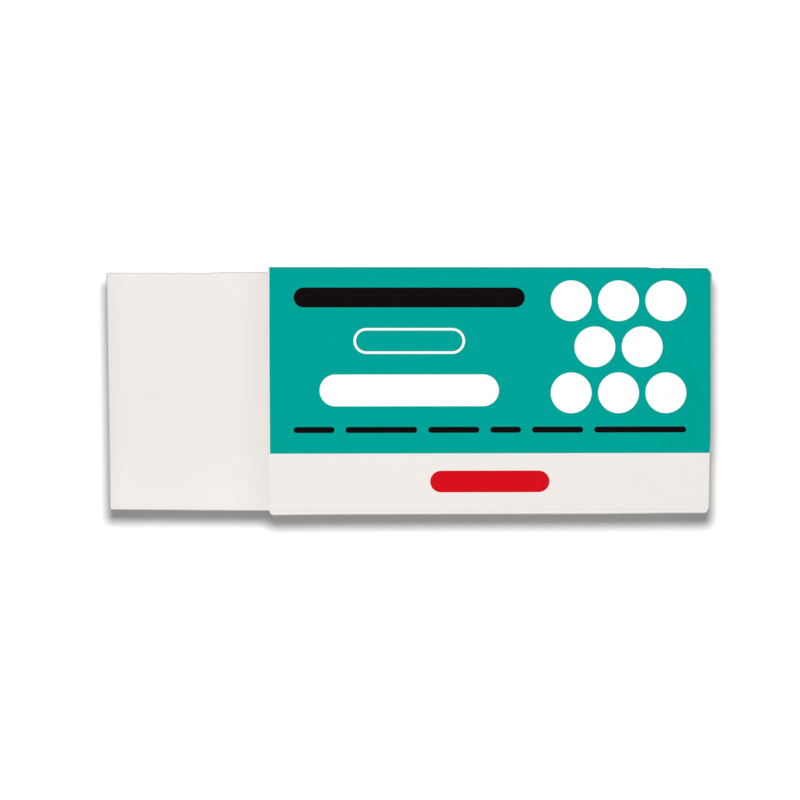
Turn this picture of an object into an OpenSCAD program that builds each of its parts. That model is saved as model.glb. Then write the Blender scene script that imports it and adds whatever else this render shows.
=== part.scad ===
// White vinyl block eraser in a folded and printed paperboard sleeve.
// +X runs along the block, +Y across it, and +Z out of the printed front panel.
// The origin is under the middle of the whole part, on the face it lies on.

/* [Eraser block] */
// Length of the block
block_l = 61; // [45:0.5:75]
// Width of the block
block_w = 24.1; // [19:0.1:30]
// Thickness of the block
block_h = 12; // [9:0.5:16]
// Radius of the block's edges
block_edge_r = 0.3; // [0.1:0.05:0.8]

/* [Sleeve] */
// Length of the sleeve, along the block
sleeve_l = 44.6; // [36:0.1:54]
// How far the block shows past the sleeve's right end
block_tail = 0.1; // [0:0.1:3]
// Thickness of the paperboard
board_t = 0.35; // [0.25:0.05:0.6]
// Radius inside each fold
fold_r = 0.2; // [0.1:0.05:0.5]
// Radius of the sleeve's four corners, seen from the front
corner_r = 0.4; // [0.1:0.05:0.6]
// Gap between the block and each side panel
side_gap = 0.1; // [0.05:0.05:0.5]
// Gap between the block and the front panel
front_gap = 0.1; // [0.05:0.05:0.5]
// Width of the glue flap, from the side panel it is folded from
flap_w = 8.5; // [5:0.5:12]
// How far the glued edge of the back panel stops short of that side panel
seam_setback = 0.8; // [0.6:0.1:2]

/* [Print] */
// Depth of the ink in the board's face
ink_t = 0.05; // [0.03:0.01:0.1]
// Width of the bare strip along the front panel's lower edge
strip_w = 6.25; // [4:0.05:9]
// Distance from the sleeve's ends to the bars and to the dots
print_margin = 2.6; // [1.5:0.1:4]
// Height of the solid dark bar
dark_bar_h = 2; // [1:0.1:3]
// Length of the outlined bar
outline_bar_l = 11.2; // [7:0.1:14]
// Height of the outlined bar
outline_bar_h = 2.6; // [1.5:0.1:3]
// Line width of the outlined bar
outline_line = 0.25; // [0.15:0.05:0.5]
// Length of the solid white bar
white_bar_l = 18; // [10:0.1:20]
// Height of the solid white bar
white_bar_h = 3.2; // [2:0.1:4]
// Height of the row of dashes
dash_h = 0.6; // [0.4:0.1:1]
// Gap between two dashes
dash_gap = 1.1; // [0.5:0.1:2]
// Length of the red bar
red_bar_l = 12; // [6:0.1:16]
// Height of the red bar
red_bar_h = 2.2; // [1:0.1:3]
// Diameter of one white dot
dot_d = 4.1; // [2.5:0.1:4.5]
// Distance between two dots in a row
dot_pitch = 4.75; // [4.6:0.05:5.2]
// Distance from the field of dots to the top edge and to the dashes
dot_margin = 1.35; // [0.8:0.05:2]

/* [Hidden] */
$fn = 64;
// Overrun of a cut past the face it opens
past = 1;
// The part's two ends
block_x0 = -block_l / 2;
sleeve_x1 = block_l / 2 - block_tail;
sleeve_x0 = sleeve_x1 - sleeve_l;
sleeve_x = (sleeve_x0 + sleeve_x1) / 2;
// Across the sleeve, and up through its layers
half_w = block_w / 2 + side_gap + board_t;
fold_outer_r = fold_r + board_t;
flap_z = board_t;
seat_z = flap_z + board_t;
block_top_z = seat_z + block_h;
front_in_z = block_top_z + front_gap;
front_z = front_in_z + board_t;
mid_z = front_z / 2;
// The front panel's fields: the bare strip, and the coloured field above it
field_y0 = -half_w + strip_w;
field_w = half_w - field_y0;
// Four rows of bars share the coloured field with equal gaps
row_h = [dark_bar_h, outline_bar_h, white_bar_h, dash_h];
row_gap = (field_w - row_h[0] - row_h[1] - row_h[2] - row_h[3]) / 5;
dark_bar_y = half_w - row_gap - row_h[0] / 2;
outline_bar_y = dark_bar_y - (row_h[0] + row_h[1]) / 2 - row_gap;
white_bar_y = outline_bar_y - (row_h[1] + row_h[2]) / 2 - row_gap;
dash_y = white_bar_y - (row_h[2] + row_h[3]) / 2 - row_gap;
// The red bar is centred on the flat part of the bare strip
red_bar_y = (field_y0 - half_w + fold_outer_r) / 2;
// Staggered rows of three, two and three dots at the right-hand end
dot_rows = [3, 2, 3];
dots_w = dot_pitch * (max(dot_rows) - 1) + dot_d;
dots_x = sleeve_x1 - print_margin - dots_w / 2;
dots_top = half_w - dot_margin;
dots_low = dash_y + dash_h / 2 + dot_margin;
dots_y = (dots_top + dots_low) / 2;
dot_row_pitch = (dots_top - dots_low - dot_d) / (len(dot_rows) - 1);
// The bars fill the room left of the dots
bars_x0 = sleeve_x0 + print_margin;
bars_x1 = dots_x - dots_w / 2 - print_margin;
bars_x = (bars_x0 + bars_x1) / 2;
// Relative lengths of the dashes, which fill the panel between its margins
dash_parts = [4, 7, 5, 3, 5, 9];
dash_row_l = sleeve_l - 2 * print_margin;
dash_unit = (dash_row_l - dash_gap * (len(dash_parts) - 1)) / sum_to(dash_parts, len(dash_parts));

// Sum of the first n numbers of a list
function sum_to(list, n) = n == 0 ? 0 : list[n - 1] + sum_to(list, n - 1);

// Rectangle between two corners, with round corners
module round_rect(low, high, r) {
    size = high - low;
    translate(low + [r, 0]) square(size - [2 * r, 0]);
    translate(low + [0, r]) square(size - [0, 2 * r]);
    for (x = [low[0] + r, high[0] - r], y = [low[1] + r, high[1] - r]) translate([x, y]) circle(r);
}

// Bar with half-round ends, centred on a point of the front panel
module bar_2d(x, y, l, h) {
    translate([x - (l - h) / 2, y - h / 2]) square([l - h, h]);
    for (end = [-1, 1]) translate([x + end * (l - h) / 2, y]) circle(h / 2);
}

// Extrudes a cross-section, drawn across (Y) and up (Z), along X
module along_x(x0, x1) {
    translate([x0, 0, 0]) rotate([90, 0, 90]) linear_extrude(height = x1 - x0) children();
}

// Extrudes a side view, drawn along (X) and up (Z), across the whole width
module across(width) {
    translate([0, width / 2, 0]) rotate([90, 0, 0]) linear_extrude(height = width) children();
}

// Extrudes a plan, drawn along (X) and across (Y), between two heights
module upward(z0, z1) {
    translate([0, 0, z0]) linear_extrude(height = z1 - z0) children();
}

// Solid of a front-panel shape, as deep as the ink
module inked() {
    upward(front_z - ink_t, front_z) children();
}

// Plan outline of the sleeve, through its whole height
module sleeve_plan() {
    upward(0, front_z) round_rect([sleeve_x0, -half_w], [sleeve_x1, half_w], corner_r);
}

// Outer contour of the folded strip: the back panel overlaps the flap and stops short of the side
module outer_2d() {
    round_rect([-half_w, flap_z], [half_w, front_z], fold_outer_r);
    intersection() {
        round_rect([-half_w, 0], [half_w, front_z], fold_outer_r);
        translate([-half_w + seam_setback, 0]) square([2 * half_w - seam_setback, mid_z]);
    }
}

// Hollow of the folded strip: one board thickness deeper where the flap ends
module hollow_2d() {
    round_rect([-half_w + board_t, seat_z], [half_w - board_t, front_in_z], fold_r);
    intersection() {
        round_rect([-half_w + board_t, board_t], [half_w - board_t, front_in_z], fold_r);
        translate([-half_w + flap_w, 0]) square([2 * half_w - flap_w, mid_z]);
    }
}

// Ink all round the strip's face, from the bare strip over the upper side panel to the back
module teal_2d() {
    intersection() {
        difference() {
            round_rect([-half_w, 0], [half_w, front_z], fold_outer_r);
            round_rect([-half_w + ink_t, ink_t], [half_w - ink_t, front_z - ink_t], fold_outer_r - ink_t);
        }
        translate([field_y0, -past]) square([field_w + past, front_z + 2 * past]);
    }
}

module outline_bar_2d() {
    difference() {
        bar_2d(bars_x, outline_bar_y, outline_bar_l, outline_bar_h);
        bar_2d(bars_x, outline_bar_y, outline_bar_l - 2 * outline_line, outline_bar_h - 2 * outline_line);
    }
}

module dots_2d() {
    for (row = [0 : len(dot_rows) - 1], k = [0 : dot_rows[row] - 1])
        translate([
            dots_x + (k - (dot_rows[row] - 1) / 2) * dot_pitch,
            dots_y + (row - (len(dot_rows) - 1) / 2) * dot_row_pitch,
        ])
            circle(dot_d / 2);
}

module dashes_2d() {
    for (k = [0 : len(dash_parts) - 1])
        let (
            l = dash_parts[k] * dash_unit,
            x0 = bars_x0 + sum_to(dash_parts, k) * dash_unit + k * dash_gap
        )
            bar_2d(x0 + l / 2, dash_y, l, dash_h);
}

module white_2d() {
    outline_bar_2d();
    bar_2d(bars_x, white_bar_y, white_bar_l, white_bar_h);
    dots_2d();
}

module black_2d() {
    bar_2d(bars_x, dark_bar_y, bars_x1 - bars_x0, dark_bar_h);
    dashes_2d();
}

module red_2d() {
    bar_2d(sleeve_x, red_bar_y, red_bar_l, red_bar_h);
}

// Block: one bar of vinyl with every edge eased, lying on the glue flap
module eraser_block() {
    color("#EEE9E6")
        intersection() {
            along_x(block_x0, -block_x0)
                round_rect([-block_w / 2, seat_z], [block_w / 2, block_top_z], block_edge_r);
            across(block_w)
                round_rect([block_x0, seat_z], [-block_x0, block_top_z], block_edge_r);
            upward(seat_z, block_top_z)
                round_rect([block_x0, -block_w / 2], [-block_x0, block_w / 2], block_edge_r);
        }
}

// Sleeve: one strip of board, folded at four creases and glued along its flap
module sleeve() {
    color("#F3EFEA")
        difference() {
            intersection() {
                along_x(sleeve_x0, sleeve_x1)
                    difference() {
                        outer_2d();
                        hollow_2d();
                        teal_2d();
                    }
                sleeve_plan();
            }
            inked() red_2d();
        }
}

// Teal field with gaps for the white and black shapes
module teal_print() {
    color("#00A499")
        difference() {
            intersection() {
                along_x(sleeve_x0, sleeve_x1) teal_2d();
                sleeve_plan();
            }
            inked() {
                white_2d();
                black_2d();
            }
        }
}

module white_print() {
    color("#FFFFFF") inked() white_2d();
}

module black_print() {
    color("#16110F") inked() black_2d();
}

module red_print() {
    color("#D7101E") inked() red_2d();
}

eraser_block();
sleeve();
teal_print();
white_print();
black_print();
red_print();
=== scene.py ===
"""A vinyl block eraser in its folded, printed paperboard sleeve: surfaces, materials, light and camera.

+X runs along the block, +Y across it and +Z out of the printed front panel. Sizes are in metres.
"""

import math
from types import SimpleNamespace

import bpy
import numpy as np
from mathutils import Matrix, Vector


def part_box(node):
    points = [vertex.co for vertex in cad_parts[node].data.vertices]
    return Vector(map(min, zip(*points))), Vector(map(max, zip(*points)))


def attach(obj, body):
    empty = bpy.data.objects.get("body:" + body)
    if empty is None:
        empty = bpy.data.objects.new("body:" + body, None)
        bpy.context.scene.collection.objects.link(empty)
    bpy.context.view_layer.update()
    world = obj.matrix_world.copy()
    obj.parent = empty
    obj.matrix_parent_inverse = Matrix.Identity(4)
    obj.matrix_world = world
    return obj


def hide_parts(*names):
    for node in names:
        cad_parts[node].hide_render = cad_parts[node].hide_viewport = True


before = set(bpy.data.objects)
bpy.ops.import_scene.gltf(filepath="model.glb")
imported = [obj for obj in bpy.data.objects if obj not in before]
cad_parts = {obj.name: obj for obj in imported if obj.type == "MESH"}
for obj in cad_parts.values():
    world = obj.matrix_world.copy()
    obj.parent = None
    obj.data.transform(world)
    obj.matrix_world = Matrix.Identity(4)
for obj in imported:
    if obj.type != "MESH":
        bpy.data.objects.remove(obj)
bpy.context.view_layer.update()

bl_info = {
    "name": "Sleeved block eraser",
    "version": (1, 0, 0),
    "blender": (4, 5, 0),
    "location": "3D View > Sidebar > Eraser",
    "description": "Builds a vinyl block eraser in a folded and printed paperboard sleeve",
    "category": "Object",
}

MM = 0.001


# Sizes that the frame gives
def read_frame():
    """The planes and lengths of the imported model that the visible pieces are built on."""
    block_low, block_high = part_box("eraser_block")
    sleeve_low, sleeve_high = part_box("sleeve")
    teal_low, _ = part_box("teal_print")
    dark_low, dark_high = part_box("black_print")
    white_low, white_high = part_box("white_print")
    red_low, red_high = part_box("red_print")
    return SimpleNamespace(
        block_low=np.array(block_low),
        block_high=np.array(block_high),
        x0=sleeve_low[0],
        x1=sleeve_high[0],
        half_w=-sleeve_low[1],
        front=white_high[2],
        board=block_low[2] / 2,
        field_y0=teal_low[1],
        white=(np.array(white_low), np.array(white_high)),
        dark=(np.array(dark_low), np.array(dark_high)),
        red=(np.array(red_low), np.array(red_high)),
    )


PART = read_frame()


def linear(colour):
    """Turns an sRGB hex colour into the linear numbers that a shader takes."""
    channels = np.array([int(colour[k : k + 2], 16) for k in (1, 3, 5)]) / 255
    return tuple(np.where(channels <= 0.04045, channels / 12.92, ((channels + 0.055) / 1.055) ** 2.4))


# Settings that a user would change
ANYWHERE = -1  # lowest value of a place, in metres


def length(name, description, default, low=0):
    """A length, or a place if it may be lower than 0, in metres."""
    return bpy.props.FloatProperty(
        name=name,
        description=description,
        default=default,
        min=low,
        precision=5,
        subtype="DISTANCE",
        unit="LENGTH",
    )


def colour(name, description, default):
    """A colour, whose default is given as sRGB hex."""
    return bpy.props.FloatVectorProperty(
        name=name, description=description, default=linear(default), size=3, min=0, max=1, subtype="COLOR"
    )


class BlockSettings(bpy.types.PropertyGroup):
    """The vinyl block."""

    edge_long: length("End edge", "How far the eased edges reach along the block", 0.2 * MM)
    edge_across: length("Side edge", "How far the eased edges reach across the block", 0.14 * MM)
    edge_deep: length("Edge depth", "How far the eased edges reach down", 0.45 * MM)
    end_lean: length("End lean", "How far the bare end is cut out of square", 0.37 * MM)
    end_taper: length("End taper", "How far the near side comes in towards the bare end", 0.12 * MM)
    edge_loss: length("Rubbed edge", "How much of the far edge is rubbed away at the left", 0.09 * MM)
    vinyl: colour("Vinyl", "Colour of the vinyl", "#F3EEEB")
    vinyl_warm: colour("Warm vinyl", "Colour of the warmer patches in the vinyl", "#F9F4EE")
    # Painted shade: darkens the vinyl at its bare end, by the sleeve's mouth and away from the near side
    painted_shade: colour("Soil", "Tint that handling and the sleeve's edge leave on the vinyl", "#ECECEA")


class SleeveSettings(bpy.types.PropertyGroup):
    """The folded board."""

    fold_outer: length("Outer fold radius", "Radius outside each fold", 0.26 * MM)
    fold_inner: length("Inner fold radius", "Radius inside each fold", 0.06 * MM)
    edge_slope: length("Cut edge", "How far the crushed edge at the right end slopes", 0.15 * MM)
    crease: length("Crease depth", "Depth of the scored line beside each front fold", 0.06 * MM)
    flap: length("Flap", "Width of the glue flap under the back panel", 8.5 * MM)
    seam: length("Seam", "How far the glued edge stops short of the side panel", 0.8 * MM)
    corner_wear: length("Corner wear", "Radius of the worn corners", 0.6 * MM)
    fold_loss: length("Rubbed fold", "How much of the far fold is rubbed away at the right", 0.085 * MM)
    board: colour("Board", "Colour of the coated face of the board", "#F0EBE7")
    board_core: colour("Board core", "Colour of the uncoated back and the cut edges", "#E2DCD2")


class PrintSettings(bpy.types.PropertyGroup):
    """The inks and the printed shapes."""

    margin: length("Margin", "Distance from the sleeve's ends to the bars and to the dots", 2.6 * MM)
    outline_length: length("Outlined bar", "Length of the outlined bar", 11.2 * MM)
    outline_height: length("Outlined bar height", "Height of the outlined bar", 2.6 * MM)
    outline_line: length("Outline", "Line width of the outlined bar", 0.25 * MM)
    white_length: length("White bar", "Length of the solid white bar", 18 * MM)
    white_height: length("White bar height", "Height of the solid white bar", 3.2 * MM)
    dark_height: length("Dark bar height", "Height of the solid dark bar", 2 * MM)
    dash_height: length("Dash height", "Height of the dashes", 0.6 * MM)
    dash_gap: length("Dash gap", "Gap between two dashes", 1.1 * MM)
    dot: length("Dot", "Diameter of one white dot", 4.1 * MM)
    dot_pitch: length("Dot pitch", "Distance between two dots in a row", 4.75 * MM)
    teal: colour("Teal", "Colour of the printed field", "#00A297")
    white: colour("White", "Colour of the white ink", "#FFFFFF")
    black: colour("Black", "Colour of the black ink", "#0B0707")
    red: colour("Red", "Colour of the red ink", "#D7101E")


class StageSettings(bpy.types.PropertyGroup):
    """The light and the camera."""

    distance: length("Camera distance", "From the front panel to the camera", 222.95 * MM)
    aim_x: length("Aim along", "Where the camera looks, along the block", -0.927 * MM, ANYWHERE)
    aim_y: length("Aim across", "Where the camera looks, across the block", -0.86 * MM, ANYWHERE)
    lamp_height: length("Lamp height", "From the front panel to the lamp", 184 * MM)
    lamp_x: length("Lamp along", "Where the lamp stands, along the block", -0.2 * MM, ANYWHERE)
    lamp_y: length("Lamp across", "Where the lamp stands, across the block", 18.4 * MM, ANYWHERE)
    lamp_size: length("Lamp size", "Diameter of the lamp, which sets how soft the shadow is", 23.4 * MM)
    key: bpy.props.FloatProperty(
        name="Key light", description="Power of the lamp", default=8.75, min=0, unit="POWER"
    )
    fill: bpy.props.FloatProperty(
        name="Fill light", description="Strength of the light from all round", default=0.15, min=0
    )


# Shapes
def ramp(x, middle, half):
    """Rises from 0 to 1.

    It is half of one plus the hyperbolic tangent of the distance from the middle over half the width.
    """
    return 0.5 + 0.5 * np.tanh((x - middle) / half)


def peak(x, middle, half):
    """A soft peak of 1: e to minus the square of the distance from the middle over half its width."""
    return np.exp(-(((x - middle) / half) ** 2))


# Meshes
def grid_faces(rows, columns, first=0, flip=False):
    """Quads of a rows by columns grid of points, numbered row by row from first."""
    point = first + np.arange(rows * columns).reshape(rows, columns)
    corners = [point[:-1, :-1], point[:-1, 1:], point[1:, 1:], point[1:, :-1]]
    quads = np.stack(corners, axis=-1).reshape(-1, 4)
    return quads[:, ::-1] if flip else quads


def new_piece(name, points, faces, materials, slots=None, attributes=None, smooth=True):
    """Makes a mesh object at the origin from whole arrays of points and faces.

    Smooth is one value for all of the faces, or one for each. The edges of a flat face are sharp.
    """
    mesh = bpy.data.meshes.new(name)
    mesh.from_pydata(np.asarray(points).tolist(), [], [list(face) for face in faces])
    for material in materials:
        mesh.materials.append(material)
    if slots is not None:
        mesh.polygons.foreach_set("material_index", np.asarray(slots, dtype=np.int32))
    for key, values in (attributes or {}).items():
        layer = mesh.attributes.new(key, "FLOAT", "POINT")
        layer.data.foreach_set("value", np.asarray(values, dtype=np.float32))
    smooth = np.full(len(mesh.polygons), smooth, dtype=bool)
    mesh.polygons.foreach_set("use_smooth", smooth)
    sides = np.empty(len(mesh.polygons), dtype=np.int32)
    edge = np.empty(len(mesh.loops), dtype=np.int32)
    mesh.polygons.foreach_get("loop_total", sides)
    mesh.loops.foreach_get("edge_index", edge)
    sharp = np.zeros(len(mesh.edges), dtype=bool)
    sharp[edge[np.repeat(~smooth, sides)]] = True
    mesh.edges.foreach_set("use_edge_sharp", sharp)
    mesh.validate()
    mesh.update()
    piece = bpy.data.objects.new(name, mesh)
    bpy.context.scene.collection.objects.link(piece)
    return piece


# Distances of the close rows beside each fold
BESIDE_FOLD = np.array([0.07, 0.14, 0.21, 0.28, 0.35, 0.42, 0.5, 0.6]) * MM


def stretch_stops(start, end, count):
    """Stops along a straight stretch: close together at its ends, with count evenly spaced ones between."""
    middle = np.linspace(start + BESIDE_FOLD[-1], end - BESIDE_FOLD[-1], count)
    return np.concatenate([[start], start + BESIDE_FOLD[:-1], middle, end - BESIDE_FOLD[-2::-1], [end]])


def folded_path(corners, radius, arc_steps, counts):
    """Straight stretches between the corners, each with its own count of stops, joined by quarter circles.

    Along a stretch, a point is the start plus its distance times the stretch's direction. Round a corner, it
    is the circle's centre, less the next direction times the radius and the cosine of the turn, and plus the
    last direction times the radius and the sine. Gives the points and, for each, how much it lies in a fold:
    the sine of twice the turn, which is 0 on a stretch and 1 halfway round.
    """
    ways = np.diff(corners, axis=0)
    lengths = np.linalg.norm(ways, axis=1)
    ways /= lengths[:, None]
    turn = np.linspace(0, math.pi / 2, arc_steps + 1)[1:-1]
    points, bend = [], []
    last = len(ways) - 1
    for k, way in enumerate(ways):
        from_start = radius if k > 0 else 0
        to_end = lengths[k] - (radius if k < last else 0)
        along = stretch_stops(from_start, to_end, counts[k])
        points.append(corners[k] + along[:, None] * way)
        bend.append(np.zeros(len(along)))
        if k < last:
            centre = corners[k + 1] + radius * (ways[k + 1] - way)
            less = radius * np.outer(np.cos(turn), ways[k + 1])
            more = radius * np.outer(np.sin(turn), way)
            points.append(centre - less + more)
            bend.append(np.sin(2 * turn))
    return np.concatenate(points), np.concatenate(bend)


def carried(section, starts, ends, shares):
    """Carries a cross-section, which has Y and Z, along X.

    Each point of the section goes from its own start to its own end: it is the start plus the share of the
    way times the length of the way.
    """
    x = starts[:, None] + shares[None, :] * (ends - starts)[:, None]
    y = np.repeat(section[:, :1], len(shares), axis=1)
    z = np.repeat(section[:, 1:], len(shares), axis=1)
    return np.stack([x, y, z], axis=-1)


def closed_shell(outer, inner):
    """Points and faces of a sheet: its outer grid, its inner grid, and the four rims that join them.

    Gives the slot of each face as well: 0 outside, 1 inside and 2 on the rims.
    """
    rows, columns = outer.shape[:2]
    count = rows * columns
    points = np.concatenate([outer.reshape(-1, 3), inner.reshape(-1, 3)])
    number = np.arange(count).reshape(rows, columns)
    outline = np.concatenate([number[0, :-1], number[:-1, -1], number[-1, :0:-1], number[:0:-1, 0]])
    following = np.roll(outline, -1)
    rim = np.stack([outline, outline + count, following + count, following], axis=-1)
    faces = np.concatenate([grid_faces(rows, columns), grid_faces(rows, columns, count, flip=True), rim])
    per_side = (rows - 1) * (columns - 1)
    slots = np.repeat([0, 1, 2], [per_side, per_side, len(rim)])
    return points, faces, slots


def bar_outline(x, y, long, high, steps=24):
    """Outline of a bar: a half circle round each end of its middle line, the right one first."""
    turn = np.linspace(-math.pi / 2, math.pi / 2, steps)
    r, reach = high / 2, (long - high) / 2
    right = np.stack([x + reach + r * np.cos(turn), y + r * np.sin(turn)], axis=-1)
    left = np.stack([x - reach - r * np.cos(turn), y - r * np.sin(turn)], axis=-1)
    return np.concatenate([right, left])


def dot_outline(x, y, diameter, steps=72):
    """Outline of a dot: the centre plus the radius times the cosine and sine of the turn."""
    turn = np.linspace(0, 2 * math.pi, steps, endpoint=False)
    return np.stack([x + diameter / 2 * np.cos(turn), y + diameter / 2 * np.sin(turn)], axis=-1)


def flat_film(outline, low, high, first):
    """A flat film: its outline at two heights, closed by a face above, one below and a wall."""
    n = len(outline)
    number = first + np.arange(n)
    following = np.roll(number, -1)
    points = np.concatenate([np.column_stack([outline, np.full(n, z)]) for z in (high, low)])
    wall = np.stack([number, number + n, following + n, following], axis=-1)
    return points, [number.tolist(), (number + n)[::-1].tolist(), *wall.tolist()]


def flat_ring(outside, inside, low, high, first):
    """A flat ring between two outlines of as many points, with its two walls."""
    n = len(outside)
    loops = [(outside, high), (inside, high), (inside, low), (outside, low)]
    points = np.concatenate([np.column_stack([loop, np.full(n, z)]) for loop, z in loops])
    faces = []
    for k in range(4):
        here = first + k * n + np.arange(n)
        there = first + (k + 1) % 4 * n + np.arange(n)
        faces += np.stack([here, np.roll(here, -1), np.roll(there, -1), there], axis=-1).tolist()
    return points, faces


def film_piece(name, films, material):
    """Joins flat films into one piece."""
    points, faces, first = [], [], 0
    for make, *arguments in films:
        more_points, more_faces = make(*arguments, first)
        points.append(more_points)
        faces += more_faces
        first += len(more_points)
    return new_piece(name, as_used(np.concatenate(points)), faces, [material], smooth=False)


def axis_stops(low, high, radius, arc_steps, step):
    """Stops along one axis of a block.

    Over each eased edge, they lie at the radius times the tangent of even angles up to 45 degrees. Between
    the edges they are evenly spaced, about a step apart.
    """
    over_edge = radius * np.tan(np.linspace(0, math.pi / 4, arc_steps + 1))[1:]
    middle = np.linspace(low + radius, high - radius, max(2, round((high - low) / step)))
    return np.concatenate([(low + radius - over_edge)[::-1], middle, high - radius + over_edge])


SAME_POINT = 0.001 * MM  # points closer together than this are one


def eased_block(low, high, reach, arc_steps, step, close_x):
    """A block with elliptical edges, from six grids on its faces, with extra stops along X.

    A smaller block lies inside by the reach along each axis. The way from its nearest point to a point of the
    grid, divided by the reach, is made one long, multiplied by the reach, and put back on that nearest point.
    Gives the points, the quads, and which of the quads lie on the two ends.
    """
    stops = [axis_stops(low[k], high[k], reach[k], arc_steps, step) for k in range(3)]
    stops[0] = np.union1d(stops[0], close_x)
    points, quads, ends, first = [], [], [], 0
    for across in range(3):
        u, v = (across + 1) % 3, (across + 2) % 3
        for side, value in ((0, low[across]), (1, high[across])):
            grid = np.empty((len(stops[u]), len(stops[v]), 3))
            grid[..., u] = stops[u][:, None]
            grid[..., v] = stops[v][None, :]
            grid[..., across] = value
            points.append(grid.reshape(-1, 3))
            more = grid_faces(len(stops[u]), len(stops[v]), first, flip=side == 1)
            quads.append(more)
            ends.append(np.full(len(more), across == 0))
            first += grid.shape[0] * grid.shape[1]
    points, quads, ends = np.concatenate(points), np.concatenate(quads), np.concatenate(ends)
    core = np.clip(points, low + reach, high - reach)
    out = (points - core) / reach
    points = core + reach * out / np.linalg.norm(out, axis=1, keepdims=True)
    rounded = np.round(points / SAME_POINT)
    _, keep, place = np.unique(rounded, axis=0, return_index=True, return_inverse=True)
    return points[keep], place.reshape(-1)[quads], ends


# Materials
SHARE, FIRST, SECOND, MIXED = 0, 6, 7, 2  # the sockets that a Mix node uses for colours
NOISE_WIDE = {"From Min": 0.3, "From Max": 0.7}  # nearly all of the range of a noise
NOISE_MIDDLE = {"From Min": 0.35, "From Max": 0.65}  # and the middle of it


def per_mm(size):
    """Scale of a pattern whose features are this many millimetres across."""
    return 1 / (size * MM)


def add_node(tree, kind, inputs, output=0, **settings):
    """Adds a shader node with its settings, and links or sets its inputs. Gives one of its outputs.

    An input is another node's output or a plain value, and a colour may have three numbers.
    """
    node = tree.nodes.new("ShaderNode" + kind)
    for key, value in settings.items():
        setattr(node, key, value)
    for key, value in inputs.items():
        socket = node.inputs[key]
        if isinstance(value, bpy.types.NodeSocket):
            tree.links.new(value, socket)
        else:
            socket.default_value = (*value, 1) if socket.type == "RGBA" and len(value) == 3 else value
    return node.outputs[output] if len(node.outputs) else None


def new_material(name):
    """A material without a shader, and the place on the piece that its patterns read."""
    material = bpy.data.materials.new(name)
    material.use_nodes = True
    material.node_tree.nodes.clear()
    return material, material.node_tree, add_node(material.node_tree, "TexCoord", {}, "Object")


def dimmed(colour, share):
    return tuple(share * channel for channel in colour)


# Painted shade on the vinyl, as shares of its full tint
SHADE_END, SHADE_END_LONG = 0.32, 2 * MM  # at the bare end, and how far along the block it fades
SHADE_MOUTH_NEAR, SHADE_MOUTH_FAR = 0.52, 0.72  # painted shadow by the sleeve's mouth, near and far
SHADE_MOUTH_OUT, SHADE_MOUTH_IN = 4.5 * MM, 0.6 * MM  # how far it reaches out of the sleeve, and into it
SHADE_HALF = 12 * MM  # from the middle to the near and far edge
SHADE_FAR_SIDE = 0.28  # painted shade away from the near side
UNSHADED_Y, FULL_SHADE_Y = -13 * MM, -5.5 * MM  # where that begins, and where it is full


def painted_shade(tree, place):
    """How much of the painted shade's tint each place on the block takes.

    One share of painted shade fades from the bare end, and another, a painted shadow of the sleeve's edge,
    grows with the square of the way to the sleeve's mouth. The larger of the two is taken, and a third one,
    painted shade that grows away from the near side, is added.
    """
    along = add_node(tree, "SeparateXYZ", {"Vector": place}, "X")
    across = along.node.outputs["Y"]
    bare, mouth = PART.block_low[0], PART.x0
    # Painted shade at the bare end
    end = add_node(
        tree,
        "MapRange",
        {"Value": along, "From Min": bare, "From Max": bare + SHADE_END_LONG, "To Min": SHADE_END, "To Max": 0},
    )
    start = mouth - SHADE_MOUTH_OUT
    nearing = add_node(tree, "MapRange", {"Value": along, "From Min": start, "From Max": mouth})
    square = add_node(tree, "Math", {0: nearing, 1: nearing}, operation="MULTIPLY")
    outside = add_node(
        tree,
        "MapRange",
        {"Value": along, "From Min": mouth, "From Max": mouth + SHADE_MOUTH_IN, "To Min": 1, "To Max": 0},
    )
    # This share is painted shadow of the sleeve's edge on the block, beside its mouth
    rubbed = add_node(tree, "Math", {0: square, 1: outside}, operation="MULTIPLY")
    uneven = add_node(
        tree,
        "MapRange",
        {
            "Value": across,
            "From Min": -SHADE_HALF,
            "From Max": SHADE_HALF,
            "To Min": SHADE_MOUTH_NEAR,
            "To Max": SHADE_MOUTH_FAR,
        },
    )
    rubbed = add_node(tree, "Math", {0: rubbed, 1: uneven}, operation="MULTIPLY")
    # Painted shade, darker away from the near side
    far_side_shade = add_node(
        tree, "MapRange", {"Value": across, "From Min": UNSHADED_Y, "From Max": FULL_SHADE_Y, "To Max": SHADE_FAR_SIDE}
    )
    most = add_node(tree, "Math", {0: end, 1: rubbed}, operation="MAXIMUM")
    return add_node(tree, "Math", {0: most, 1: far_side_shade}, operation="ADD")


STREAK_REACH = 24  # length of a blade streak for its width


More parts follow.
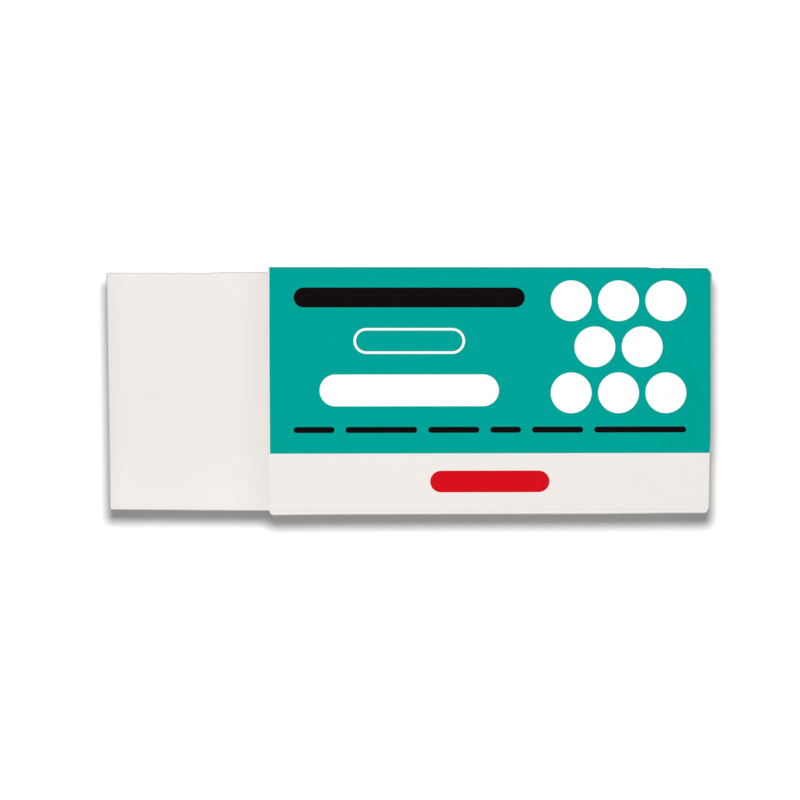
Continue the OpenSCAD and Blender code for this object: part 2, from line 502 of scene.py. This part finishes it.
def vinyl(settings, name, cut):
    """Plasticised PVC, cast in a slab and sliced by a blade: matte, soft-edged and faintly see-through.

    The cast faces have a fine, even grain. The cut ends show faint streaks of the blade, which run up the
    end. Faint painted shade darkens the block at its bare end, beside the sleeve's mouth and away from its
    near side.
    """
    material, tree, place = new_material(name)
    patches = add_node(tree, "TexNoise", {"Vector": place, "Scale": per_mm(22), "Detail": 1})
    warm = add_node(tree, "MapRange", {"Value": patches, **NOISE_MIDDLE})
    tones = {SHARE: warm, FIRST: settings.vinyl, SECOND: settings.vinyl_warm}
    body = add_node(tree, "Mix", tones, MIXED, data_type="RGBA")
    # Painted shade, multiplied in: darker at the bare end, by the sleeve's mouth and away from the near side
    tints = {SHARE: painted_shade(tree, place), FIRST: (1, 1, 1), SECOND: settings.painted_shade}
    tint = add_node(tree, "Mix", tints, MIXED, data_type="RGBA")
    shaded = {SHARE: 1.0, FIRST: body, SECOND: tint}
    body = add_node(tree, "Mix", shaded, MIXED, data_type="RGBA", blend_type="MULTIPLY")
    grain = add_node(tree, "TexNoise", {"Vector": place, "Scale": per_mm(0.35), "Detail": 4})
    rough = add_node(tree, "MapRange", {"Value": grain, **NOISE_WIDE, "To Min": 0.56, "To Max": 0.66})
    relief, depth = grain, 0.005 * MM
    if cut:
        upright = add_node(tree, "Mapping", {"Vector": place, "Scale": (1, 1, 1 / STREAK_REACH)})
        relief = add_node(tree, "TexNoise", {"Vector": upright, "Scale": per_mm(0.8), "Detail": 3})
        depth = 0.03 * MM
        streaks = add_node(tree, "MapRange", {"Value": relief, **NOISE_MIDDLE, "To Min": 0.965, "To Max": 1})
        streaked = {SHARE: 1.0, FIRST: body, SECOND: streaks}
        body = add_node(tree, "Mix", streaked, MIXED, data_type="RGBA", blend_type="MULTIPLY")
    shader = add_node(
        tree,
        "BsdfPrincipled",
        {
            "Base Color": body,
            "Roughness": rough,
            "Normal": add_node(tree, "Bump", {"Height": relief, "Distance": depth, "Strength": 1.0}),
            "IOR": 1.53,
            "Specular IOR Level": 0.2,
            "Subsurface Weight": 0.08,
            "Subsurface Radius": (1.0, 0.9, 0.8),
            "Subsurface Scale": 0.3 * MM,
        },
    )
    add_node(tree, "OutputMaterial", {"Surface": shader})
    return material


def coated_board(settings):
    """Clay-coated folding board, calendered smooth: a satin off-white with a trace of its fibres."""
    material, tree, place = new_material("clay_coated_folding_board")
    clouds = add_node(tree, "TexNoise", {"Vector": place, "Scale": per_mm(1.4), "Detail": 3})
    cloud = add_node(tree, "MapRange", {"Value": clouds, **NOISE_WIDE})
    tones = {SHARE: cloud, FIRST: dimmed(settings.board, 0.985), SECOND: settings.board}
    lengthwise = add_node(tree, "Mapping", {"Vector": place, "Scale": (1 / 4, 1, 1)})
    fibres = add_node(tree, "TexNoise", {"Vector": lengthwise, "Scale": per_mm(0.2), "Detail": 4})
    rough = add_node(tree, "MapRange", {"Value": fibres, **NOISE_WIDE, "To Min": 0.5, "To Max": 0.6})
    shader = add_node(
        tree,
        "BsdfPrincipled",
        {
            "Base Color": add_node(tree, "Mix", tones, MIXED, data_type="RGBA"),
            "Roughness": rough,
            "Normal": add_node(tree, "Bump", {"Height": fibres, "Distance": 0.003 * MM, "Strength": 1.0}),
            "IOR": 1.5,
            "Specular IOR Level": 0.2,
        },
    )
    add_node(tree, "OutputMaterial", {"Surface": shader})
    return material


def raw_board(settings):
    """The uncoated back of the board: matte, a little greyer, with visible fibres along the grain."""
    material, tree, place = new_material("uncoated_board_back")
    lengthwise = add_node(tree, "Mapping", {"Vector": place, "Scale": (1 / 6, 1, 1)})
    fibres = add_node(tree, "TexNoise", {"Vector": lengthwise, "Scale": per_mm(0.22), "Detail": 5})
    pale = add_node(tree, "MapRange", {"Value": fibres, **NOISE_MIDDLE})
    tones = {SHARE: pale, FIRST: dimmed(settings.board_core, 0.9), SECOND: settings.board_core}
    rough = add_node(tree, "MapRange", {"Value": fibres, **NOISE_WIDE, "To Min": 0.8, "To Max": 0.9})
    shader = add_node(
        tree,
        "BsdfPrincipled",
        {
            "Base Color": add_node(tree, "Mix", tones, MIXED, data_type="RGBA"),
            "Roughness": rough,
            "Normal": add_node(tree, "Bump", {"Height": fibres, "Distance": 0.012 * MM, "Strength": 1.0}),
            "IOR": 1.5,
            "Specular IOR Level": 0.1,
        },
    )
    add_node(tree, "OutputMaterial", {"Surface": shader})
    return material


PLIES = 5.0  # layers of fibre in the board
COAT = {"From Min": 0.86, "From Max": 0.94}  # share of the board's depth at which its coat begins


def cut_board(settings):
    """The die-cut edge: a thin white coat over soft layers of fibre, seen as fine lines round the edge."""
    material, tree, place = new_material("die_cut_board_edge")
    depth = add_node(tree, "Attribute", {}, "Fac", attribute_name="depth")
    fuzz = add_node(tree, "TexNoise", {"Vector": place, "Scale": per_mm(0.12), "Detail": 4})
    layers = add_node(tree, "Math", {0: depth, 1: PLIES, 2: fuzz}, operation="MULTIPLY_ADD")
    line = add_node(tree, "Math", {0: layers, 1: 1.0}, operation="PINGPONG")
    fibre_tones = {SHARE: line, FIRST: dimmed(settings.board_core, 0.84), SECOND: settings.board_core}
    plies = add_node(tree, "Mix", fibre_tones, MIXED, data_type="RGBA")
    coat = add_node(tree, "MapRange", {"Value": depth, **COAT})
    tones = {SHARE: coat, FIRST: plies, SECOND: settings.board}
    shader = add_node(
        tree,
        "BsdfPrincipled",
        {
            "Base Color": add_node(tree, "Mix", tones, MIXED, data_type="RGBA"),
            "Roughness": 0.85,
            "Normal": add_node(tree, "Bump", {"Height": fuzz, "Distance": 0.02 * MM, "Strength": 1.0}),
            "IOR": 1.5,
            "Specular IOR Level": 0.1,
        },
    )
    add_node(tree, "OutputMaterial", {"Surface": shader})
    return material


CRACKED = {"From Min": 0.58, "From Max": 0.62}  # noise, times the fold's share, at which the ink has cracked


def litho_ink(settings, name, ink, board):
    """Offset ink under a thin satin varnish: even and saturated, with pale specks where a fold cracked it."""
    material, tree, place = new_material(name)
    clouds = add_node(tree, "TexNoise", {"Vector": place, "Scale": per_mm(0.9), "Detail": 2})
    cloud = add_node(tree, "MapRange", {"Value": clouds, **NOISE_WIDE})
    ink_tones = {SHARE: cloud, FIRST: dimmed(ink, 0.975), SECOND: ink}
    film = add_node(tree, "Mix", ink_tones, MIXED, data_type="RGBA")
    crease = add_node(tree, "Attribute", {}, "Fac", attribute_name="crease")
    along_fold = add_node(tree, "Mapping", {"Vector": place, "Scale": (1 / 3, 1, 1)})
    cracks = add_node(tree, "TexNoise", {"Vector": along_fold, "Scale": per_mm(0.35), "Detail": 5})
    strained = add_node(tree, "Math", {0: cracks, 1: crease}, operation="MULTIPLY")
    speck = add_node(tree, "MapRange", {"Value": strained, **CRACKED})
    tones = {SHARE: speck, FIRST: film, SECOND: board}
    lengthwise = add_node(tree, "Mapping", {"Vector": place, "Scale": (1 / 4, 1, 1)})
    fibres = add_node(tree, "TexNoise", {"Vector": lengthwise, "Scale": per_mm(0.25), "Detail": 3})
    shader = add_node(
        tree,
        "BsdfPrincipled",
        {
            "Base Color": add_node(tree, "Mix", tones, MIXED, data_type="RGBA"),
            "Roughness": add_node(tree, "MapRange", {"Value": cloud, "To Min": 0.48, "To Max": 0.56}),
            "Normal": add_node(tree, "Bump", {"Height": fibres, "Distance": 0.002 * MM, "Strength": 1.0}),
            "IOR": 1.5,
            "Specular IOR Level": 0.04,
        },
    )
    add_node(tree, "OutputMaterial", {"Surface": shader})
    return material


# Pieces
INK_STEP = 0.01 * MM  # each layer of ink stands this far out from what it is printed on
ARC_STEPS = 10  # steps round one fold
EDGE_STEPS = 5  # steps over half of an eased edge
STRETCH = 1.0 * MM  # length of a mesh face along a panel or a face of the block
CLOSE_STEP = 0.06 * MM  # and where an edge is rubbed away
SLEEVE_STOPS = 32  # evenly spaced stops along the sleeve

NARROW_FAR, NARROW_NEAR = 0.02 * MM, 0.12 * MM  # how far the two sides come in towards the right end
FLARE, FLARE_LONG = 0.06 * MM, 3 * MM  # how far the near side stands out at the mouth, and for how long
PINCH_X, PINCH_HALF = 23.7 * MM, 2.5 * MM  # where it is squeezed in by as much again
NEAR_HALF = 3 * MM  # how far in from the near side that is felt
LOSS_X, LOSS_HALF = 24.2 * MM, 0.3 * MM  # right of here, the far fold is rubbed away
TOOTH_X, TOOTH_HALF = 25.5 * MM, 0.18 * MM  # where a little of it stands
TOOTH = 0.6  # and how much of it
RUBBED_ACROSS, RUBBED_DOWN = 1 * MM, 1.5 * MM  # how far from its edge a rubbed place reaches
END_LEAN = 0.12 * MM  # how far the right end is worn back beside the bare strip
LEAN_FROM, LEAN_HALF = 0.73, 0.03  # share of the way across at which that begins, and how sharply


def as_used(points):
    """Gives the sleeve, and what is in it, the shape that handling has left.

    Y moves in by the narrowing, which grows evenly along the sleeve and across it. At the near side, it also
    moves in by the flare, times one less e to minus the distance from the mouth over the flare's length, and
    by the flare times a ramp where the end is squeezed. At the far fold it moves in by the loss, times a ramp
    less a share of a peak. X moves back by the lean, times the fourth power of the share along, and times a
    ramp plus the sixth power of the share across.
    """
    loss = bpy.context.scene.eraser_sleeve.fold_loss
    x, y, z = (points[..., k] for k in range(3))
    along = np.clip(x - PART.x0, 0, PART.x1 - PART.x0)
    share = along / (PART.x1 - PART.x0)
    across = (PART.half_w - y) / (2 * PART.half_w)
    narrowed = share * (across * NARROW_NEAR - (1 - across) * NARROW_FAR)
    squeezed = FLARE * (1 - np.exp(-along / FLARE_LONG) + ramp(x, PINCH_X, PINCH_HALF))
    rubbed = loss * (ramp(x, LOSS_X, LOSS_HALF) - TOOTH * peak(x, TOOTH_X, TOOTH_HALF))
    near_side = peak(y, -PART.half_w, NEAR_HALF)
    far_fold = peak(y, PART.half_w, RUBBED_ACROSS) * peak(z, PART.front, RUBBED_DOWN)
    leant = share**4 * (ramp(across, LEAN_FROM, LEAN_HALF) + across**6) * END_LEAN
    return np.stack([x - leant, y + narrowed + squeezed * near_side - rubbed * far_fold, z], axis=-1)


BLOCK_LOSS_X, BLOCK_LOSS_HALF = -19.2 * MM, 0.12 * MM  # left of here, the block's far edge is rubbed away
BLOCK_TOOTH_X, BLOCK_TOOTH_HALF = -19.7 * MM, 0.12 * MM  # where a little of it stands
BLOCK_CLOSE = 0.5 * MM  # how far from there its close stops reach


def make_block(context):
    """The vinyl block: eased edges, a bare end that is cut out of square, and a fit inside the sleeve.

    Outside the sleeve, X moves in by the lean, times the share across and the fourth power of the share
    towards the bare end. Y moves in from the near side by the taper, times both shares, and from the far edge
    by the loss, times a ramp less a peak.
    """
    settings = context.scene.eraser_block
    low, high = PART.block_low, PART.block_high
    reach = np.array([settings.edge_long, settings.edge_across, settings.edge_deep])
    close_x = np.arange(BLOCK_TOOTH_X - BLOCK_CLOSE, BLOCK_LOSS_X + BLOCK_CLOSE, CLOSE_STEP)
    points, quads, on_end = eased_block(low, high, reach, EDGE_STEPS, STRETCH, close_x)
    x, y, z = points.T
    loss = ramp(-x, -BLOCK_LOSS_X, BLOCK_LOSS_HALF) - peak(x, BLOCK_TOOTH_X, BLOCK_TOOTH_HALF)
    loss *= settings.edge_loss * peak(y, high[1], RUBBED_ACROSS) * peak(z, high[2], RUBBED_DOWN)
    bare = np.clip((PART.x0 - x) / (PART.x0 - low[0]), 0, 1)
    across = (high[1] - y) / (high[1] - low[1])
    lean, taper = settings.end_lean * across * bare**4, settings.end_taper * across * bare
    moved = np.column_stack([x + lean, y + (taper - loss), z])
    cast = vinyl(settings, "cast_pvc_vinyl", cut=False)
    sliced = vinyl(settings, "blade_cut_pvc_vinyl", cut=True)
    piece = new_piece("vinyl_block", as_used(moved), quads, [cast, sliced], on_end)
    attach(piece, "block")
    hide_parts("eraser_block")


CLOSE_BEYOND = 2.5  # how far the close stops reach past the rubbed fold, for half its width


def shares_along():
    """Shares of the way along the sleeve: evenly spaced, and close where the far fold is rubbed away."""
    close = np.arange(LOSS_X - CLOSE_BEYOND * LOSS_HALF, TOOTH_X + CLOSE_BEYOND * TOOTH_HALF, CLOSE_STEP)
    return np.union1d(np.linspace(0, 1, SLEEVE_STOPS), (close - PART.x0) / (PART.x1 - PART.x0))


CREASE_IN, CREASE_HALF = 0.33 * MM, 0.12 * MM  # how far in the scored line lies, and half its width
FRONT_DEPTH = 1.5  # the front panel lies within this many thicknesses of the board


def fold_radius(inset, settings):
    """The radius at a depth inside the board, between the outer and the inner one."""
    return settings.fold_outer + (settings.fold_inner - settings.fold_outer) * inset / PART.board


def scored(section, settings):
    """Presses a line into the front panel beside each fold: its depth is a peak across the panel."""
    on_front = section[:, 1] > PART.front - FRONT_DEPTH * PART.board
    line = peak(np.abs(section[:, 0]), PART.half_w - CREASE_IN, CREASE_HALF)
    section[:, 1] -= np.where(on_front, settings.crease * line, 0)
    return section


def section_along(corners, inset, settings):
    """Cross-section of folded board: the path that turns at corners(inset), a depth inside its outer face."""
    lengths = np.linalg.norm(np.diff(corners(0), axis=0), axis=1)
    counts = np.maximum(2, np.round(lengths / STRETCH).astype(int))
    section, bend = folded_path(corners(inset), fold_radius(inset, settings), ARC_STEPS, counts)
    return scored(section, settings), bend


def strip_section(inset, settings):
    """Cross-section of the folded strip: flap, side, front, side and back."""

    def corners(inset):
        half, top = PART.half_w - inset, PART.front - inset
        flap_end, flap_z = -PART.half_w + settings.flap, PART.board + inset
        back_end = -PART.half_w + settings.seam
        flap_side = [[flap_end, flap_z], [-half, flap_z], [-half, top]]
        return np.array([*flap_side, [half, top], [half, inset], [back_end, inset]])

    return section_along(corners, inset, settings)


def teal_section(inset, settings):
    """Cross-section of the printed field: part of the front panel, one side panel and part of the back."""

    def corners(inset):
        half, top = PART.half_w - inset, PART.front - inset
        return np.array([[PART.field_y0, top], [half, top], [half, inset], [PART.field_y0, inset]])

    return section_along(corners, inset, settings)


# Share of the full corner wear at each front fold, at its left and its right end
WEAR_LOW_FOLD = (1.1, 1.1)
WEAR_TOP_FOLD = (0.15, 1.1)
WEAR_DOWN = 4.0  # reach of the wear down a side panel, for its reach across the front
MOUTH_LEAN = 0.15 * MM  # how far the left end is out of square


def end_wear(section, settings):
    """How far each point of a section is pushed in from the strip's two ends.

    At the corner that the front panel makes with a side panel, the push makes a quarter circle: the radius,
    less the root of its square less the square of what the distance from the corner leaves of it. The left
    end also leans in, by the square of the share across.
    """
    shapes = []
    for end in (0, 1):
        push = np.zeros(len(section))
        for side, shares in ((-1, WEAR_LOW_FOLD), (1, WEAR_TOP_FOLD)):
            radius = shares[end] * settings.corner_wear
            corner = np.array([side * PART.half_w, PART.front])
            away = np.linalg.norm((section - corner) / (1, WEAR_DOWN), axis=1)
            push += radius - np.sqrt(radius**2 - np.clip(radius - away, 0, None) ** 2)
        shapes.append(push)
    across = (PART.half_w - section[:, 0]) / (2 * PART.half_w)
    return shapes[0] + MOUTH_LEAN * across**2, shapes[1]


CRUSHED = 1.6  # depth of the crushed edge for its width


def make_sleeve(context):
    """The board of the sleeve: one strip, folded four times and glued along its flap."""
    settings = context.scene.eraser_sleeve
    skin = 2 * INK_STEP
    outside, _ = strip_section(skin, settings)
    sunk, _ = strip_section(skin + CRUSHED * settings.edge_slope, settings)
    inside, _ = strip_section(PART.board, settings)
    left, right = end_wear(outside, settings)
    starts, ends = PART.x0 + left, PART.x1 - right
    shares = shares_along()
    columns = len(shares)
    slope = ends - settings.edge_slope
    outer, inner = (
        np.concatenate([carried(face, starts, slope, shares), carried(edge, ends, ends, shares[:1])], axis=1)
        for face, edge in ((outside, sunk), (inside, inside))
    )
    points, faces, slots = closed_shell(as_used(outer), as_used(inner))
    half = len(points) // 2
    crushed = (slots == 0) & (np.arange(len(slots)) % columns == columns - 1)
    slots[crushed] = 2
    piece = new_piece(
        "sleeve_board",
        points,
        faces,
        [coated_board(settings), raw_board(settings), cut_board(settings)],
        slots,
        {"depth": np.repeat([1.0, 0.0], half)},
        slots != 2,
    )
    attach(piece, "sleeve")
    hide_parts("sleeve")


INK_MARGIN_LEFT = 0.15 * MM  # bare board beside the sleeve's left cut edge
FIELD_ROOT, SHAPE_ROOT = 2.5 * INK_STEP, 3 * INK_STEP  # how deep the films of ink reach
SPECK_X, SPECK_HALF = 24.8 * MM, 0.7 * MM  # where the ink has cracked most, along the folds
SPECK_ELSEWHERE = 0.6  # share of the strain along the rest of them


def make_field(context):
    """The teal field, printed from the front panel over one side to the back."""
    sleeve, inks = context.scene.eraser_sleeve, context.scene.eraser_print
    outside, bend = teal_section(INK_STEP, sleeve)
    inside, _ = teal_section(FIELD_ROOT, sleeve)
    left, right = end_wear(outside, sleeve)
    starts, ends = PART.x0 + left + INK_MARGIN_LEFT, PART.x1 - right - sleeve.edge_slope
    shares = shares_along()
    outer, inner = carried(outside, starts, ends, shares), carried(inside, starts, ends, shares)
    points, faces, slots = closed_shell(as_used(outer), as_used(inner))
    strain = SPECK_ELSEWHERE + (1 - SPECK_ELSEWHERE) * peak(points[:, 0], SPECK_X, SPECK_HALF)
    crease = np.tile(np.repeat(bend, len(shares)), 2) * strain
    ink = litho_ink(inks, "teal_litho_ink", inks.teal, sleeve.board)
    piece = new_piece("teal_field", points, faces, [ink], None, {"crease": crease}, slots != 2)
    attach(piece, "sleeve")
    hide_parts("teal_print")


DASH_PARTS = (4, 7, 5, 3, 5, 9)  # relative lengths of the dashes
DOT_ROWS = (3, 2, 3)


def make_shapes(context):
    """The white, black and red shapes, each a film of ink on the front panel."""
    sleeve, inks = context.scene.eraser_sleeve, context.scene.eraser_print
    low, high = PART.front - SHAPE_ROOT, PART.front
    white_low, white_high = PART.white
    dark_low, dark_high = PART.dark
    bars_x0 = dark_low[0]
    dots_x = white_high[0] - (inks.dot_pitch * (max(DOT_ROWS) - 1) + inks.dot) / 2
    dots_low = dots_x - (white_high[0] - dots_x)
    bars_x1 = dots_low - inks.margin
    bars_x = (bars_x0 + bars_x1) / 2
    heights = (inks.dark_height, inks.outline_height, inks.white_height, inks.dash_height)
    gap = (PART.half_w - PART.field_y0 - sum(heights)) / (len(heights) + 1)
    tops = PART.half_w - gap * np.arange(1, 5) - np.concatenate([[0], np.cumsum(heights)[:-1]])
    dark_y, outline_y, white_y, dash_y = tops - np.array(heights) / 2

    thin = 2 * inks.outline_line
    outline = [
        bar_outline(bars_x, outline_y, inks.outline_length - less, inks.outline_height - less)
        for less in (0, thin)
    ]
    row_pitch = (white_high[1] - white_low[1] - inks.dot) / (len(DOT_ROWS) - 1)
    dots = [
        (
            flat_film,
            dot_outline(
                dots_x + (k - (count - 1) / 2) * inks.dot_pitch,
                white_low[1] + inks.dot / 2 + row * row_pitch,
                inks.dot,
            ),
            low,
            high,
        )
        for row, count in enumerate(DOT_ROWS)
        for k in range(count)
    ]
    white = [
        (flat_ring, *outline, low, high),
        (flat_film, bar_outline(bars_x, white_y, inks.white_length, inks.white_height), low, high),
        *dots,
    ]

    room = dark_high[0] - bars_x0 - inks.dash_gap * (len(DASH_PARTS) - 1)
    dash_lengths = room * np.array(DASH_PARTS) / sum(DASH_PARTS)
    dash_starts = bars_x0 + np.concatenate([[0], np.cumsum(dash_lengths + inks.dash_gap)[:-1]])
    black = [(flat_film, bar_outline(bars_x, dark_y, bars_x1 - bars_x0, inks.dark_height), low, high)]
    black += [
        (flat_film, bar_outline(start + long / 2, dash_y, long, inks.dash_height), low, high)
        for start, long in zip(dash_starts, dash_lengths)
    ]

    red_low, red_high = PART.red
    middle, size = (red_low + red_high) / 2, red_high - red_low
    red = [(flat_film, bar_outline(middle[0], middle[1], size[0], size[1]), low, high)]

    for name, films, ink, node, slot in (
        ("white_shapes", white, inks.white, "white_print", "white_ink"),
        ("black_shapes", black, inks.black, "black_print", "black_ink"),
        ("red_bar", red, inks.red, "red_print", "red_ink"),
    ):
        material = litho_ink(inks, f"{slot.split('_')[0]}_litho_ink", ink, sleeve.board)
        piece = film_piece(name, films, material)
        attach(piece, "sleeve")
        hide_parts(node)


# Stage
FLOOR_SEEN = 1.0  # reflectance of the paper where the camera sees it
FLOOR_BOUNCE = 0.6  # and where it lights the object
GLOW_HERE, GLOW_FAR = 0.09, 0.89  # strength of its glow round the object, and far away
GLOW_START = 60 * MM  # how far from the middle the glow begins to grow
FLOOR_HALF = 2.0
BACKDROP = 1.0  # strength of the white round it all


def seen_directly(tree):
    """1 for rays from the camera, a mirror or glass, and 0 for the light that falls on the object."""
    from_camera = add_node(tree, "LightPath", {}, "Is Camera Ray")
    rays = from_camera.node.outputs
    seen = add_node(tree, "Math", {0: from_camera, 1: rays["Is Glossy Ray"]}, operation="MAXIMUM")
    return add_node(tree, "Math", {0: seen, 1: rays["Is Transmission Ray"]}, operation="MAXIMUM")


def paper_sweep(lamp_height):
    """White background paper: matte, with a glow where it is seen, so that it stays white off the shadow.

    The glow makes up for the lamp's light, of which the floor loses more and more away from the middle: the
    square of the distance, over its sum with the square of the lamp's height.
    """
    material, tree, place = new_material("white_paper_sweep")
    seen, bounced = (
        add_node(tree, "BsdfDiffuse", {"Color": (white, white, white)})
        for white in (FLOOR_SEEN, FLOOR_BOUNCE)
    )
    square = add_node(tree, "VectorMath", {0: place, 1: place}, "Value", operation="DOT_PRODUCT")
    both = add_node(tree, "Math", {0: square, 1: lamp_height**2}, operation="ADD")
    lost = add_node(tree, "Math", {0: square, 1: both}, operation="DIVIDE")
    start = GLOW_START**2 / (GLOW_START**2 + lamp_height**2)
    growing = {"Value": lost, "From Min": start, "To Min": GLOW_HERE, "To Max": GLOW_FAR}
    glow = add_node(tree, "Emission", {"Strength": add_node(tree, "MapRange", growing)})
    lit = add_node(tree, "AddShader", {0: seen, 1: glow})
    shown = add_node(tree, "MixShader", {0: seen_directly(tree), 1: bounced, 2: lit})
    add_node(tree, "OutputMaterial", {"Surface": shown})
    return material


def set_world(context, fill):
    """A white surround that gives an even fill light."""
    world = bpy.data.worlds.new("studio")
    world.use_nodes = True
    tree = world.node_tree
    tree.nodes.clear()
    light, backdrop = (
        add_node(tree, "Background", {"Color": (1, 1, 1), "Strength": strength})
        for strength in (fill, BACKDROP)
    )
    shown = add_node(tree, "MixShader", {0: seen_directly(tree), 1: light, 2: backdrop})
    add_node(tree, "OutputWorld", {"Surface": shown})
    context.scene.world = world


def make_stage(context):
    """Floor, surround, lamp and camera. The lamp stands close to the camera, and both look straight down."""
    settings = context.scene.eraser_stage
    corners = FLOOR_HALF * np.array([[-1, -1, 0], [1, -1, 0], [1, 1, 0], [-1, 1, 0]])
    lamp_z = PART.front + settings.lamp_height
    floor = new_piece("floor", corners, [[0, 1, 2, 3]], [paper_sweep(lamp_z)])
    set_world(context, settings.fill)
    soft = bpy.data.lights.new("soft_lamp", "AREA")
    soft.shape, soft.size, soft.energy = "DISK", settings.lamp_size, settings.key
    soft.use_nodes = True
    even = add_node(soft.node_tree, "LightFalloff", {"Strength": 1.0}, "Constant")
    soft.node_tree.links.new(even, soft.node_tree.nodes["Emission"].inputs["Strength"])
    lamp = bpy.data.objects.new("soft_lamp", soft)
    lamp.location = (settings.lamp_x, settings.lamp_y, lamp_z)
    lamp.visible_glossy = False
    context.scene.collection.objects.link(lamp)
    view = bpy.data.cameras.new("camera")
    view.lens, view.sensor_width = 100, 36
    view.clip_start = 0.01
    camera = bpy.data.objects.new("camera", view)
    camera.location = (settings.aim_x, settings.aim_y, PART.front + settings.distance)
    context.scene.collection.objects.link(camera)
    context.scene.camera = camera
    context.scene.view_settings.view_transform = "Standard"


class ERASER_OT_block(bpy.types.Operator):
    """Builds the vinyl block"""

    bl_idname = "eraser.block"
    bl_label = "Vinyl block"

    def execute(self, context):
        make_block(context)
        return {"FINISHED"}


class ERASER_OT_sleeve(bpy.types.Operator):
    """Builds the folded board of the sleeve"""

    bl_idname = "eraser.sleeve"
    bl_label = "Folded sleeve"

    def execute(self, context):
        make_sleeve(context)
        return {"FINISHED"}


class ERASER_OT_field(bpy.types.Operator):
    """Prints the teal field round the sleeve"""

    bl_idname = "eraser.field"
    bl_label = "Teal field"

    def execute(self, context):
        make_field(context)
        return {"FINISHED"}


class ERASER_OT_shapes(bpy.types.Operator):
    """Prints the white, black and red shapes"""

    bl_idname = "eraser.shapes"
    bl_label = "Printed shapes"

    def execute(self, context):
        make_shapes(context)
        return {"FINISHED"}


class ERASER_OT_stage(bpy.types.Operator):
    """Sets up the floor, the light and the camera"""

    bl_idname = "eraser.stage"
    bl_label = "Stage"

    def execute(self, context):
        make_stage(context)
        return {"FINISHED"}


class ERASER_PT_panel(bpy.types.Panel):
    """The eraser's pieces, and the settings of each"""

    bl_idname = "ERASER_PT_panel"
    bl_label = "Eraser"
    bl_space_type = "VIEW_3D"
    bl_region_type = "UI"
    bl_category = "Eraser"

    def draw(self, context):
        for key, (settings, operators) in GROUPS.items():
            box = self.layout.box()
            for name in settings.__annotations__:
                box.prop(getattr(context.scene, key), name)
            for operator in operators:
                box.operator(operator.bl_idname)


GROUPS = {
    "eraser_block": (BlockSettings, [ERASER_OT_block]),
    "eraser_sleeve": (SleeveSettings, [ERASER_OT_sleeve]),
    "eraser_print": (PrintSettings, [ERASER_OT_field, ERASER_OT_shapes]),
    "eraser_stage": (StageSettings, [ERASER_OT_stage]),
}


def register():
    for key, (settings, operators) in GROUPS.items():
        for kind in (settings, *operators):
            bpy.utils.register_class(kind)
        setattr(bpy.types.Scene, key, bpy.props.PointerProperty(type=settings))
    bpy.utils.register_class(ERASER_PT_panel)


def unregister():
    bpy.utils.unregister_class(ERASER_PT_panel)
    for key, (settings, operators) in reversed(GROUPS.items()):
        delattr(bpy.types.Scene, key)
        for kind in (*reversed(operators), settings):
            bpy.utils.unregister_class(kind)


def main():
    """Builds every piece in order."""
    register()
    bpy.ops.eraser.block()
    bpy.ops.eraser.sleeve()
    bpy.ops.eraser.field()
    bpy.ops.eraser.shapes()
    bpy.ops.eraser.stage()
    bpy.context.view_layer.update()


if __name__ == "__main__":
    main()
